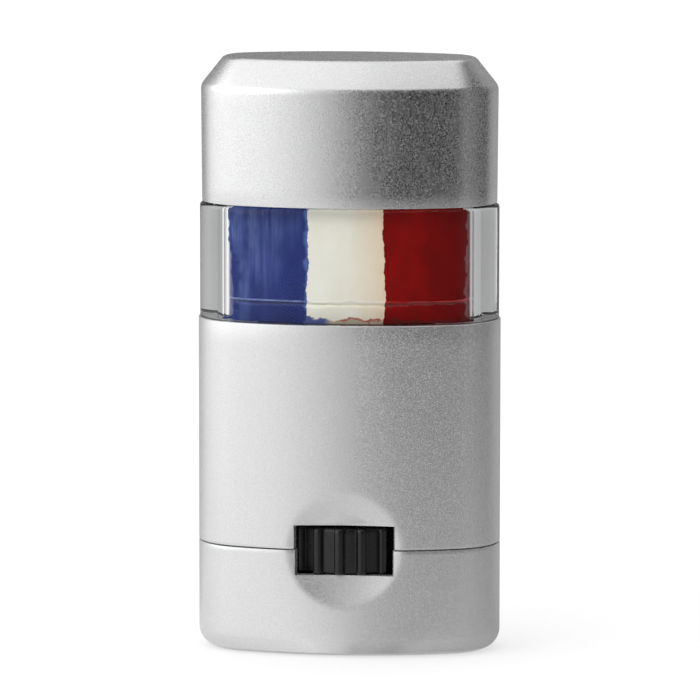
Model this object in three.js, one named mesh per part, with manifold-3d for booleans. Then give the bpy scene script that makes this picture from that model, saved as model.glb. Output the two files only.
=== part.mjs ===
// Three-colour body paint stick: an oval, pocket-size applicator with a pull-off cap, a clear window barrel,
// a silver sleeve and base, and a black thumb wheel. The wheel turns a lead screw, and the screw lifts a cup
// that carries three bars of paint side by side.
//
// Millimetres, +Z up. The origin is the middle of the flat foot of the base. The photographed front faces -Y,
// with the blue bar on the left at -X. The front and the back are alike.
import * as THREE from "three";
import { mergeVertices } from "three/addons/utils/BufferGeometryUtils.js";
import Module from "manifold-3d";

const wasm = await Module();
wasm.setup();

// Outline of the sleeve and base
const BODY_WIDTH = 33;
const BODY_DEPTH = 16;
const END_RADIUS = 6.3; // the tight arcs at the two ends of the oval

// Heights of the outside pieces, from the foot up: 65 in all
const BASE_HEIGHT = 11.8; // to half way up the thumb wheel
const SLEEVE_HEIGHT = 24.7;
const BAND_HEIGHT = 12.5; // the clear band
const CAP_HEIGHT = 16;

// Walls and clearances
const WALL = 1.3;
const SEAM = 0.12; // the hairline between the base and the sleeve
const CAP_SEAM = 0.15; // the line between the clear band and the cap
const SKIRT_FIT = 0.12; // each side, barrel in sleeve and lip in sleeve
const NECK_FIT = 0.14; // each side, neck in cap
const SLIDE_FIT = 0.12; // each side, cup in bore
const TURN_FIT = 0.15; // each side, round the turning pieces
const SEAT_GAP = 0.02; // between paint and the plastic it is cast on

// Base
const BASE_FLOOR = 1.4;
const FOOT_RADIUS = 2.2; // the rounded edge round the foot
const LIP_HEIGHT = 1.9;
const LIP_WALL = 0.8;
const LIP_START_X = 7.4; // the lips stand at the two ends, clear of the wheel
const LIP_ROOT = 1.6; // how far the lips reach down inside the base
const LIP_BEAD_RISE = 1.1; // the lips' snap bead above the split
const BEAD_HEIGHT = 0.2;
const BEAD_HALF_LENGTH = 0.3;
const GROOVE_DEPTH = 0.3; // the grooves that the snap beads click into
const GROOVE_HALF_LENGTH = 0.55;
const POST_RADIUS = 3;
const PIVOT_RADIUS = 1.4;
const PIVOT_LENGTH = 1.4;
const GUSSET_REACH = 5.6;
const GUSSET_HEIGHT = 4;
const GUSSET_THICKNESS = 0.8;

// Thumb recess and wheel window, the same at the front and the back
const DISH_RADIUS = 6.25;
const DISH_DEPTH = 1.1;
const DISH_BACKING = 1.1; // the least wall left behind the dish
const WINDOW_WIDTH = 10.6;
const WHEEL_END_GAP = 0.15; // between the wheel's ends and the window's edges
const WHEEL_ROOM = 0.35; // round the wheel, inside the case

// Thumb wheel
const WHEEL_SET_BACK = 0.1; // its rim inside the front of the body
const WHEEL_HEIGHT = 4.8;
const WHEEL_RIBS = 21;
const RIB_HEIGHT = 0.75;
const RIB_TIP_WIDTH = 0.6;
const RIB_ROOT_WIDTH = 1.1;
const RIB_EDGE = 0.3; // the broken edge at both ends of the ribs
const RIM_WALL = 1.3;
const WEB_THICKNESS = 1.6;
const HUB_WALL = 1.05;

// Lead screw. Its thread is left-handed, so turning the front of the wheel to the right lifts the paint.
const SCREW_RADIUS = 2.5;
const THREAD_DEPTH = 0.7;
const THREAD_LEAD = 3;
const THREAD_FIT = 0.2;
const CORE_COVER = 0.15; // thread over the core
const SCREW_COVER = 3.3; // paint over the top of the screw
const TANG_WIDTH = 3.1; // the square end that the wheel drives
const TANG_FIT = 0.1;
const COLLAR_HEIGHT = 0.5;

// Sleeve bulkhead
const BULKHEAD_THICKNESS = 1.2;

// Clear barrel
const BAND_INSET = 0.17; // the band and the cap stand this far inside the sleeve's outline
const BAND_EDGE = 0.35;
const BAND_END_WALL = 2.93; // from the band's outside to the bore, at the two ends
const BAND_FACE_WALL = 2.63; // and at the front and the back
const BORE_END_RADIUS = 3.6;
const NECK_HEIGHT = 6.5;
const NECK_EDGE = 0.3;
const BARREL_FLOOR = 1.4;
const BARREL_FLOOR_DROP = 4.1; // the floor's top below the sleeve's
const SKIRT_LENGTH = 7;
const SKIRT_WALL = 1.2;
const SKIRT_BEAD_DROP = 3;

// Cap
const CAP_WALL = 1.1;
const CAP_TOP = 1.2;
const CAP_BEVEL_INSET = 2.5;
const CAP_BEVEL_DROP = 3.15;
const CAP_TOP_ROUND = 0.9;
const CAP_SHOULDER_ROUND = 1.4;
const GRIP_BEAD = 0.1; // the bead inside the cap that holds the neck
const GRIP_BEAD_RISE = 3;

// Cup that carries the paint
const CUP_REST_GAP = 0.3; // above the barrel's floor
const CUP_HEIGHT = 5.5;
const CUP_WALL = 0.6;
const CUP_PLATE_DROP = 1.2; // the plate's top is this far below the rim
const CUP_PLATE = 0.8;
const NUT_WALL = 1;
const NUT_LIFT = 0.5; // the nut's foot is this far above the cup's foot
const FIN_THICKNESS = 0.6;
const FIN_HEIGHT = 1;
const FIN_END_GAP = 2.2; // to the cup's wall
const CROSS_FIN_END_GAP = 1.8;
const FIN_FIT = 0.1;

// Paint
const PAINT_SET_BACK = 1.2; // its top below the neck's mouth
const PAINT_FIT = 0.15; // each side, paint in bore
const PAINT_CROWN = 0.7; // how far the top rises from its edge
const PAINT_CROWN_INSET = 1.6;
const PAINT_EDGE = 0.3; // the broken edge round the top
const STRIPE_HALF_WIDTH = 4.1; // the white bar in the middle

// Facets and cuts
const END_STEPS = 8; // a quarter of an end
const FACE_STEPS = 8; // a whole front or back face
const EDGE_STEPS = 4; // the foot's rounded edge
const SMALL_EDGE_STEPS = 3;
const ROUND_STEPS = 32; // a full turn
const THREAD_STEPS = 18; // a full turn of the thread
const THREAD_RISE_STEPS = 6; // along one lead
const DISH_STEPS = 7; // from the middle of the thumb recess to its rim
const SHARPEST_END = 0.25; // the least end radius that an oval drawn in far inside its outline keeps
const ROUNDEST_END = 0.97; // the greatest, as a share of the half depth, so that the faces stay wide arcs
const DISH_OVERRUN = 1.35; // the bowl that cuts the recess runs on past its rim
const PAST = 1; // how far a cut runs past what it cuts
const SUNK = 0.2; // how far a joined shape reaches into its neighbour

const OUTSIDE = { halfWidth: BODY_WIDTH / 2, halfDepth: BODY_DEPTH / 2, endRadius: END_RADIUS };
const CAP_OUTLINE = inset(OUTSIDE, BAND_INSET);
const BORE = {
  halfWidth: CAP_OUTLINE.halfWidth - BAND_END_WALL,
  halfDepth: CAP_OUTLINE.halfDepth - BAND_FACE_WALL,
  endRadius: BORE_END_RADIUS,
};
const CUP_OUTLINE = inset(BORE, SLIDE_FIT);
const CUP_INSIDE = inset(CUP_OUTLINE, CUP_WALL);

const SPLIT_Z = BASE_HEIGHT;
const SHOULDER_Z = SPLIT_Z + SLEEVE_HEIGHT;
const BAND_TOP_Z = SHOULDER_Z + BAND_HEIGHT;
const NECK_TOP_Z = BAND_TOP_Z + NECK_HEIGHT;
const TOP_Z = BAND_TOP_Z + CAP_HEIGHT;
const LIP_BEAD_Z = SPLIT_Z + LIP_BEAD_RISE;
const SKIRT_BEAD_Z = SHOULDER_Z - SKIRT_BEAD_DROP;
const SKIRT_BOTTOM_Z = SHOULDER_Z - SKIRT_LENGTH;
const FLOOR_Z = SHOULDER_Z - BARREL_FLOOR_DROP;
const CUP_Z = FLOOR_Z + CUP_REST_GAP;
const CUP_RIM_Z = CUP_Z + CUP_HEIGHT;
const PLATE_TOP_Z = CUP_RIM_Z - CUP_PLATE_DROP;
const PAINT_TOP_Z = NECK_TOP_Z - PAINT_SET_BACK;

const WHEEL_RADIUS = OUTSIDE.halfDepth - WHEEL_SET_BACK;
const WHEEL_BOTTOM_Z = SPLIT_Z - WHEEL_HEIGHT / 2;
const WHEEL_TOP_Z = SPLIT_Z + WHEEL_HEIGHT / 2;
const WINDOW_BOTTOM_Z = WHEEL_BOTTOM_Z - WHEEL_END_GAP;
const WINDOW_TOP_Z = WHEEL_TOP_Z + WHEEL_END_GAP;
const THRUST_Z = WHEEL_BOTTOM_Z - TURN_FIT; // the post's shoulder that the wheel turns on
const PIVOT_TOP_Z = THRUST_Z + PIVOT_LENGTH;
const TANG_Z = PIVOT_TOP_Z + TURN_FIT;
const SOCKET_WIDTH = TANG_WIDTH + 2 * TANG_FIT;
const HUB_RADIUS = SOCKET_WIDTH / Math.SQRT2 + HUB_WALL;
const COLLAR_TOP_Z = WHEEL_TOP_Z + COLLAR_HEIGHT;
const BULKHEAD_Z = COLLAR_TOP_Z + TURN_FIT;
const SCREW_HOLE_RADIUS = SCREW_RADIUS + TURN_FIT;
const SCREW_TOP_Z = PAINT_TOP_Z - SCREW_COVER;
const NUT_RADIUS = SCREW_RADIUS + THREAD_FIT + NUT_WALL;

// Outlines

function inset(oval, distance) {
  return {
    halfWidth: oval.halfWidth - distance,
    halfDepth: oval.halfDepth - distance,
    endRadius: oval.endRadius - distance,
  };
}

// The radius and centre of the wide arc that joins the two end arcs smoothly, and the angle where they meet.
function faceArc({ halfWidth, halfDepth, endRadius }) {
  const end = THREE.MathUtils.clamp(endRadius, SHARPEST_END, ROUNDEST_END * Math.min(halfDepth, halfWidth));
  const endX = halfWidth - end;
  const radius = (endX ** 2 + halfDepth ** 2 - end ** 2) / (2 * (halfDepth - end));
  return { end, endX, radius, centreY: halfDepth - radius, meet: Math.atan2(endX, radius - halfDepth) };
}

// The oval's outline, anticlockwise from its +X end, as four tangent arcs.
function ovalPoints(oval) {
  const { end, endX, radius, centreY, meet } = faceArc(oval);
  const points = [];
  const arc = (cx, cy, r, from, to, steps) => {
    for (let i = 0; i < steps; i++) {
      const a = from + ((to - from) * i) / steps;
      points.push(new THREE.Vector2(cx + r * Math.cos(a), cy + r * Math.sin(a)));
    }
  };
  const right = Math.PI / 2 - meet;
  const left = Math.PI / 2 + meet;
  arc(endX, 0, end, 0, right, END_STEPS);
  arc(0, centreY, radius, right, left, FACE_STEPS);
  arc(-endX, 0, end, left, Math.PI, END_STEPS);
  arc(-endX, 0, end, Math.PI, 2 * Math.PI - left, END_STEPS);
  arc(0, -centreY, radius, 2 * Math.PI - left, 2 * Math.PI - right, FACE_STEPS);
  arc(endX, 0, end, 2 * Math.PI - right, 2 * Math.PI, END_STEPS);
  return points;
}

// A rounded edge, as steps of { inset, z } about a centre. 0 degrees points outwards and 90 up.
function roundEdge(centreInset, centreZ, radius, fromDegrees, toDegrees, steps = SMALL_EDGE_STEPS) {
  return Array.from({ length: steps + 1 }, (_, i) => {
    const a = THREE.MathUtils.degToRad(fromDegrees + ((toDegrees - fromDegrees) * i) / steps);
    return { inset: centreInset - radius * Math.cos(a), z: centreZ + radius * Math.sin(a) };
  });
}

// Solids

// Joins rings of points, one above another, into one closed body. A loop of rings closes on itself, as a
// tube's wall does. Otherwise the first and the last ring are filled in.
function skin(rings, loop) {
  const n = rings[0].length;
  const positions = rings.flat().flatMap((p) => [p.x, p.y, p.z]);
  const faces = [];
  const bands = loop ? rings.length : rings.length - 1;
  for (let i = 0; i < bands; i++) {
    const next = (i + 1) % rings.length;
    for (let j = 0; j < n; j++) {
      const k = (j + 1) % n;
      faces.push(i * n + j, i * n + k, next * n + k, i * n + j, next * n + k, next * n + j);
    }
  }
  if (!loop) {
    const last = rings.length - 1;
    const centre = rings.length * n;
    positions.push(0, 0, rings[0][0].z, 0, 0, rings[last][0].z);
    for (let j = 0; j < n; j++) {
      const k = (j + 1) % n;
      faces.push(centre, k, j, centre + 1, last * n + j, last * n + k);
    }
  }
  const geometry = new THREE.BufferGeometry();
  geometry.setAttribute("position", new THREE.Float32BufferAttribute(positions, 3));
  geometry.setIndex(faces);
  return solid(geometry);
}

// A wall swept round an oval. Each step gives how far inside the outline it lies, and its height.
function ovalWall(oval, steps, loop = false) {
  return skin(
    steps.map((s) => ovalPoints(inset(oval, s.inset)).map((p) => new THREE.Vector3(p.x, p.y, s.z))),
    loop,
  );
}

function ovalPlug(oval, fromZ, toZ) {
  return ovalWall(oval, [{ inset: 0, z: fromZ }, { inset: 0, z: toZ }]);
}

function solid(geometry) {
  const bare = geometry.index ? geometry.toNonIndexed() : geometry.clone();
  const positions = new THREE.BufferGeometry().setAttribute("position", bare.getAttribute("position"));
  const merged = mergeVertices(positions, 1e-5);
  return new wasm.Manifold(
    new wasm.Mesh({
      numProp: 3,
      vertProperties: merged.attributes.position.array,
      triVerts: new Uint32Array(merged.index.array),
    }),
  );
}

function box(width, depth, height, x, y, z) {
  return solid(new THREE.BoxGeometry(width, depth, height).translate(x, y, z + height / 2));
}

// A round solid about the Z axis, from [radius, z] points that start and end on the axis.
function turned(points, steps = ROUND_STEPS) {
  const profile = points.map(([r, z]) => new THREE.Vector2(r, z));
  return solid(new THREE.LatheGeometry(profile, steps).rotateX(Math.PI / 2));
}

function rod(radius, fromZ, toZ, steps = ROUND_STEPS) {
  return turned([[0, fromZ], [radius, fromZ], [radius, toZ], [0, toZ]], steps);
}

// A round-crested ridge wound round the Z axis in one left-handed start. Its turns lie at the same heights
// whatever stretch it covers, so the screw and its nut match.
function threadedRod(crestRadius, fromZ, toZ) {
  const rise = THREAD_LEAD / THREAD_RISE_STEPS;
  const count = Math.max(2, Math.ceil((toZ - fromZ) / rise));
  const rings = Array.from({ length: count + 1 }, (_, i) => {
    const z = fromZ + ((toZ - fromZ) * i) / count;
    return Array.from({ length: THREAD_STEPS }, (_, j) => {
      const a = (2 * Math.PI * j) / THREAD_STEPS;
      const wave = Math.cos((2 * Math.PI * z) / THREAD_LEAD + a);
      const r = crestRadius - (THREAD_DEPTH / 2) * (1 - wave);
      return new THREE.Vector3(r * Math.cos(a), r * Math.sin(a), z);
    });
  });
  return skin(rings, false);
}

// The shallow thumb recess: a bowl with a round rim, bent to follow the face, cut from the front or the back.
function dish(side) {
  const reach = DISH_OVERRUN * DISH_RADIUS;
  const lid = DISH_DEPTH * DISH_OVERRUN ** 2 + PAST;
  const points = Array.from({ length: DISH_STEPS + 1 }, (_, i) => {
    const r = (reach * i) / DISH_STEPS;
    return new THREE.Vector2(r, DISH_DEPTH * (r / DISH_RADIUS) ** 2);
  });
  points.push(new THREE.Vector2(reach, lid), new THREE.Vector2(0, lid));
  const bowl = new THREE.LatheGeometry(points, ROUND_STEPS);
  const at = bowl.attributes.position;
  const faceRadius = faceArc(OUTSIDE).radius;
  for (let i = 0; i < at.count; i++) {
    at.setY(i, at.getY(i) - at.getX(i) ** 2 / (2 * faceRadius));
  }
  bowl.translate(0, OUTSIDE.halfDepth - DISH_DEPTH, 0);
  if (side < 0) bowl.rotateZ(Math.PI);
  return solid(bowl.translate(0, 0, SPLIT_Z));
}

// Pads inside the wall behind the thumb recesses, on one side of the split.
function dishBacking(fromZ, toZ) {
  const thickness = WALL - DISH_DEPTH + DISH_BACKING;
  const inner = OUTSIDE.halfDepth - DISH_DEPTH - DISH_BACKING;
  const limit = ovalPlug(inset(OUTSIDE, WALL / 2), fromZ, toZ);
  const pads = [-1, 1].map((side) =>
    box(2 * DISH_RADIUS, thickness, toZ - fromZ, 0, side * (inner + thickness / 2), fromZ),
  );
  return pads[0].add(pads[1]).intersect(limit);
}

// The two windows in the case and the round room between them that the wheel turns in.
function wheelRoom(fromZ, toZ) {
  const window = box(WINDOW_WIDTH, BODY_DEPTH + 2 * PAST, toZ - fromZ, 0, 0, fromZ);
  return window.add(rod(WHEEL_RADIUS + WHEEL_ROOM, fromZ, toZ));
}

// Pieces

function base() {
  const cup = ovalWall(OUTSIDE, [
    ...roundEdge(FOOT_RADIUS, FOOT_RADIUS, FOOT_RADIUS, -90, 0, EDGE_STEPS),
    { inset: 0, z: SPLIT_Z },
    { inset: WALL, z: SPLIT_Z },
    { inset: WALL, z: BASE_FLOOR + FOOT_RADIUS / 2 },
    { inset: WALL + FOOT_RADIUS / 2, z: BASE_FLOOR },
  ]);
  const lipInset = WALL + SKIRT_FIT;
  const lipRing = ovalWall(
    OUTSIDE,
    [
      { inset: lipInset + LIP_WALL, z: SPLIT_Z - LIP_ROOT },
      { inset: WALL / 2, z: SPLIT_Z - LIP_ROOT },
      { inset: WALL / 2, z: SPLIT_Z },
      { inset: lipInset, z: SPLIT_Z },
      { inset: lipInset, z: LIP_BEAD_Z - BEAD_HALF_LENGTH },
      { inset: lipInset - BEAD_HEIGHT, z: LIP_BEAD_Z },
      { inset: lipInset, z: LIP_BEAD_Z + BEAD_HALF_LENGTH },
      { inset: lipInset, z: SPLIT_Z + LIP_HEIGHT },
      { inset: lipInset + LIP_WALL, z: SPLIT_Z + LIP_HEIGHT },
    ],
    true,
  );
  const middle = box(2 * LIP_START_X, BODY_DEPTH, TOP_Z, 0, 0, 0);
  const rootZ = BASE_FLOOR / 2;
  const post = turned([
    [0, rootZ],
    [POST_RADIUS, rootZ],
    [POST_RADIUS, THRUST_Z],
    [PIVOT_RADIUS, THRUST_Z],
    [PIVOT_RADIUS, PIVOT_TOP_Z],
    [0, PIVOT_TOP_Z],
  ]);
  const gussets = [
    box(2 * GUSSET_REACH, GUSSET_THICKNESS, GUSSET_HEIGHT, 0, 0, rootZ),
    box(GUSSET_THICKNESS, 2 * GUSSET_REACH, GUSSET_HEIGHT, 0, 0, rootZ),
  ];
  return cup
    .add(lipRing.subtract(middle))
    .add(dishBacking(SPLIT_Z - DISH_RADIUS, WINDOW_BOTTOM_Z))
    .subtract(dish(-1))
    .subtract(dish(1))
    .subtract(wheelRoom(WINDOW_BOTTOM_Z, SPLIT_Z + PAST))
    .add(post)
    .add(gussets[0])
    .add(gussets[1]);
}

function sleeve() {
  const bottomZ = SPLIT_Z + SEAM;
  const groove = (z) => [
    { inset: WALL, z: z + GROOVE_HALF_LENGTH },
    { inset: WALL - GROOVE_DEPTH, z },
    { inset: WALL, z: z - GROOVE_HALF_LENGTH },
  ];
  const tube = ovalWall(
    OUTSIDE,
    [
      { inset: 0, z: bottomZ },
      { inset: 0, z: SHOULDER_Z },
      { inset: WALL, z: SHOULDER_Z },
      ...groove(SKIRT_BEAD_Z),
      ...groove(LIP_BEAD_Z),
      { inset: WALL, z: bottomZ },
    ],
    true,
  );
  const bulkhead = ovalPlug(inset(OUTSIDE, WALL / 2), BULKHEAD_Z, BULKHEAD_Z + BULKHEAD_THICKNESS);
  return tube
    .add(bulkhead)
    .add(dishBacking(WINDOW_TOP_Z, SPLIT_Z + DISH_RADIUS))
    .subtract(dish(-1))
    .subtract(dish(1))
    .subtract(wheelRoom(SPLIT_Z - PAST, WINDOW_TOP_Z))
    .subtract(rod(SCREW_HOLE_RADIUS, BULKHEAD_Z - PAST, BULKHEAD_Z + BULKHEAD_THICKNESS + PAST));
}

function barrel() {
  const neckInset = CAP_WALL + NECK_FIT;
  const skirtInset = WALL + SKIRT_FIT - BAND_INSET;
  const outside = ovalWall(CAP_OUTLINE, [
    { inset: skirtInset, z: SKIRT_BOTTOM_Z },
    { inset: skirtInset, z: SKIRT_BEAD_Z - BEAD_HALF_LENGTH },
    { inset: skirtInset - BEAD_HEIGHT, z: SKIRT_BEAD_Z },
    { inset: skirtInset, z: SKIRT_BEAD_Z + BEAD_HALF_LENGTH },
    { inset: skirtInset, z: SHOULDER_Z },
    { inset: 0, z: SHOULDER_Z },
    ...roundEdge(BAND_EDGE, BAND_TOP_Z - BAND_EDGE, BAND_EDGE, 0, 90),
    { inset: neckInset, z: BAND_TOP_Z },
    { inset: neckInset, z: NECK_TOP_Z - NECK_EDGE },
    { inset: neckInset + NECK_EDGE, z: NECK_TOP_Z },
  ]);
  const skirtInside = inset(CAP_OUTLINE, skirtInset + SKIRT_WALL);
  const floorBottomZ = FLOOR_Z - BARREL_FLOOR;
  return outside
    .subtract(ovalPlug(BORE, FLOOR_Z, NECK_TOP_Z + PAST))
    .subtract(ovalPlug(skirtInside, SKIRT_BOTTOM_Z - PAST, floorBottomZ))
    .subtract(rod(SCREW_HOLE_RADIUS, floorBottomZ - PAST, FLOOR_Z + PAST));
}

function cap() {
  const rimZ = BAND_TOP_Z + CAP_SEAM;
  const ceilingZ = TOP_Z - CAP_TOP;
  const gripZ = BAND_TOP_Z + GRIP_BEAD_RISE;
  const bevelAngle = THREE.MathUtils.radToDeg(Math.atan2(CAP_BEVEL_INSET, CAP_BEVEL_DROP));
  const gripSpan = 3 * BEAD_HALF_LENGTH;
  // The bevel's two rounded edges: each arc's centre lies where it touches both of the faces that it joins.
  const half = THREE.MathUtils.degToRad(bevelAngle / 2);
  const shoulderZ = TOP_Z - CAP_BEVEL_DROP - CAP_SHOULDER_ROUND * Math.tan(half);
  const topHalf = THREE.MathUtils.degToRad((90 - bevelAngle) / 2);
  const topInset = CAP_BEVEL_INSET + CAP_TOP_ROUND * Math.tan(topHalf);
  const cornerDrop = CAP_BEVEL_DROP - CAP_TOP + CAP_WALL;
  return ovalWall(CAP_OUTLINE, [
    { inset: CAP_BEVEL_INSET + CAP_WALL, z: ceilingZ },
    { inset: CAP_WALL, z: ceilingZ - cornerDrop },
    { inset: CAP_WALL, z: gripZ + gripSpan },
    { inset: CAP_WALL + GRIP_BEAD, z: gripZ },
    { inset: CAP_WALL, z: gripZ - gripSpan },
    { inset: CAP_WALL, z: rimZ },
    { inset: 0, z: rimZ },
    ...roundEdge(CAP_SHOULDER_ROUND, shoulderZ, CAP_SHOULDER_ROUND, 0, bevelAngle),
    ...roundEdge(topInset, TOP_Z - CAP_TOP_ROUND, CAP_TOP_ROUND, bevelAngle, 90),
  ]);
}

function thumbWheel() {
  const pitch = (2 * Math.PI) / WHEEL_RIBS;
  const groove = WHEEL_RADIUS - RIB_HEIGHT;
  const outline = [];
  const corner = (radius, angle) => {
    outline.push(new THREE.Vector2(radius * Math.sin(angle), -radius * Math.cos(angle)));
  };
  for (let i = 0; i < WHEEL_RIBS; i++) {
    const middle = i * pitch;
    const root = RIB_ROOT_WIDTH / 2 / groove;
    const tip = RIB_TIP_WIDTH / 2 / WHEEL_RADIUS;
    corner(groove, middle - root);
    corner(WHEEL_RADIUS - RIB_HEIGHT / 5, middle - tip);
    corner(WHEEL_RADIUS, middle - tip / 2);
    corner(WHEEL_RADIUS, middle + tip / 2);
    corner(WHEEL_RADIUS - RIB_HEIGHT / 5, middle + tip);
    corner(groove, middle + root);
  }
  const blank = new THREE.ExtrudeGeometry(new THREE.Shape(outline), {
    depth: WHEEL_HEIGHT - 2 * RIB_EDGE,
    bevelEnabled: true,
    bevelThickness: RIB_EDGE,
    bevelSize: RIB_EDGE,
    bevelOffset: -RIB_EDGE,
    bevelSegments: 1,
  }).translate(0, 0, WHEEL_BOTTOM_Z + RIB_EDGE);
  const hollow = (fromZ, toZ) => {
    const ring = rod(groove - RIM_WALL, fromZ, toZ);
    return ring.subtract(rod(HUB_RADIUS, fromZ - PAST, toZ + PAST));
  };
  const webTopZ = SPLIT_Z + WEB_THICKNESS / 2;
  const socketZ = TANG_Z - TANG_FIT;
  return solid(blank)
    .subtract(hollow(WHEEL_BOTTOM_Z - PAST, webTopZ - WEB_THICKNESS))
    .subtract(hollow(webTopZ, WHEEL_TOP_Z + PAST))
    .subtract(box(SOCKET_WIDTH, SOCKET_WIDTH, WHEEL_HEIGHT, 0, 0, socketZ))
    .subtract(rod(PIVOT_RADIUS + TURN_FIT, WHEEL_BOTTOM_Z - PAST, socketZ + SUNK));
}

// A square tang in the wheel, a collar held down by the sleeve's bulkhead, a plain shaft and the thread,
// which starts just under the foot of the cup at rest.
function leadScrew() {
  const core = SCREW_RADIUS - THREAD_DEPTH - CORE_COVER;
  const threadZ = CUP_Z - THREAD_DEPTH;
  const tang = box(TANG_WIDTH, TANG_WIDTH, WHEEL_TOP_Z + SUNK - TANG_Z, 0, 0, TANG_Z);
  const shaft = turned([
    [0, WHEEL_TOP_Z],
    [HUB_RADIUS, WHEEL_TOP_Z],
    [HUB_RADIUS, COLLAR_TOP_Z],
    [SCREW_RADIUS, COLLAR_TOP_Z],
    [SCREW_RADIUS, threadZ],
    [core, threadZ + SCREW_RADIUS - core],
    [core, SCREW_TOP_Z],
    [0, SCREW_TOP_Z],
  ]);
  return tang.add(shaft).add(threadedRod(SCREW_RADIUS, threadZ, SCREW_TOP_Z - THREAD_DEPTH));
}

// The upright fins on the cup's plate that key the paint. With a clearance they are the slots in the paint.
function fins(clearance) {
  const thickness = FIN_THICKNESS + 2 * clearance;
  const height = FIN_HEIGHT + clearance + SUNK;
  const bottomZ = PLATE_TOP_Z - SUNK;
  const reach = CUP_INSIDE.halfWidth - FIN_END_GAP;
  const crossX = (STRIPE_HALF_WIDTH + reach) / 2;
  const crossReach = CUP_INSIDE.halfDepth - CROSS_FIN_END_GAP;
  const crossFin = (x) => box(thickness, 2 * (crossReach + clearance), height, x, 0, bottomZ);
  return box(2 * (reach + clearance), thickness, height, 0, 0, bottomZ)
    .add(crossFin(-crossX))
    .add(crossFin(crossX));
}

function cup() {
  const wall = ovalWall(
    CUP_OUTLINE,
    [
      { inset: 0, z: CUP_Z },
      { inset: 0, z: CUP_RIM_Z },
      { inset: CUP_WALL, z: CUP_RIM_Z },
      { inset: CUP_WALL, z: CUP_Z },
    ],
    true,
  );
  const nutZ = CUP_Z + NUT_LIFT;
  const threadCut = threadedRod(SCREW_RADIUS + THREAD_FIT, nutZ - PAST, CUP_RIM_Z + PAST);
  return wall
    .add(ovalPlug(inset(CUP_OUTLINE, CUP_WALL / 2), PLATE_TOP_Z - CUP_PLATE, PLATE_TOP_Z))
    .add(fins(0))
    .add(rod(NUT_RADIUS, nutZ, CUP_RIM_Z))
    .subtract(threadCut);
}

// One bar of paint: a slice of the whole block between two upright planes.
function paintBar(fromX, toX) {
  const fullOutline = inset(BORE, PAINT_FIT);
  const footOutline = inset(CUP_INSIDE, SEAT_GAP);
  const aboveRimZ = CUP_RIM_Z + SEAT_GAP;
  const foot = ovalPlug(footOutline, PLATE_TOP_Z + SEAT_GAP, aboveRimZ + SUNK);
  const block = ovalWall(fullOutline, [
    { inset: 0, z: aboveRimZ },
    { inset: 0, z: PAINT_TOP_Z - PAINT_CROWN - PAINT_EDGE },
    { inset: PAINT_EDGE, z: PAINT_TOP_Z - PAINT_CROWN },
    { inset: PAINT_CROWN_INSET, z: PAINT_TOP_Z - PAINT_CROWN / 5 },
    { inset: 2 * PAINT_CROWN_INSET, z: PAINT_TOP_Z },
  ]);
  const slice = box(toX - fromX, BODY_DEPTH, TOP_Z, (fromX + toX) / 2, 0, 0);
  return block
    .add(foot)
    .subtract(rod(NUT_RADIUS + SEAT_GAP, 0, aboveRimZ))
    .subtract(rod(SCREW_RADIUS + THREAD_FIT, 0, SCREW_TOP_Z + THREAD_FIT))
    .subtract(fins(FIN_FIT))
    .intersect(slice);
}

// Materials and assembly

const silver = { color: 0xc4c4c6, roughness: 0.38, metalness: 0.6 };
const brightSilver = { color: 0xb2b2b4, roughness: 0.32, metalness: 0.8 };
const clear = { color: 0xe8eeee, roughness: 0.05, metalness: 0, transparent: true, opacity: 0.35 };
const black = { color: 0x1b1b1b, roughness: 0.4, metalness: 0 };
const natural = { color: 0xe9e8e2, roughness: 0.35, metalness: 0 };
const blue = { color: 0x1d2f86, roughness: 0.5, metalness: 0 };
const white = { color: 0xdcdac6, roughness: 0.5, metalness: 0 };
const red = { color: 0x8c0f0f, roughness: 0.45, metalness: 0 };

function piece(name, shape, look) {
  const made = shape.getMesh();
  const geometry = new THREE.BufferGeometry();
  geometry.setAttribute("position", new THREE.BufferAttribute(new Float32Array(made.vertProperties), 3));
  geometry.setIndex(new THREE.BufferAttribute(new Uint32Array(made.triVerts), 1));
  geometry.computeVertexNormals();
  const mesh = new THREE.Mesh(geometry, new THREE.MeshStandardMaterial(look));
  mesh.name = name;
  return mesh;
}

function group(name, ...members) {
  const made = new THREE.Group();
  made.name = name;
  made.add(...members);
  return made;
}

const housing = group(
  "housing",
  piece("base", base(), silver),
  piece("sleeve", sleeve(), silver),
  piece("window_barrel", barrel(), clear),
);
const drive = group(
  "drive",
  piece("thumb_wheel", thumbWheel(), black),
  piece("lead_screw", leadScrew(), natural),
);
const stick = group(
  "stick",
  piece("paint_cup", cup(), natural),
  piece("paint_blue", paintBar(-BORE.halfWidth, -STRIPE_HALF_WIDTH), blue),
  piece("paint_white", paintBar(-STRIPE_HALF_WIDTH, STRIPE_HALF_WIDTH), white),
  piece("paint_red", paintBar(STRIPE_HALF_WIDTH, BORE.halfWidth), red),
);
const closure = group("closure", piece("cap", cap(), brightSilver));

const paintStick = group("paint_stick", housing, drive, stick, closure);

export default paintStick;
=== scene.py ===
"""Looks for the three-colour body paint stick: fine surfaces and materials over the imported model.

Shapes are built in millimetres and stored in metres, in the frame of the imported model: +Z up, the front
at -Y.
"""

import math

import bpy
import numpy as np
from mathutils import Matrix, Vector


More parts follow.
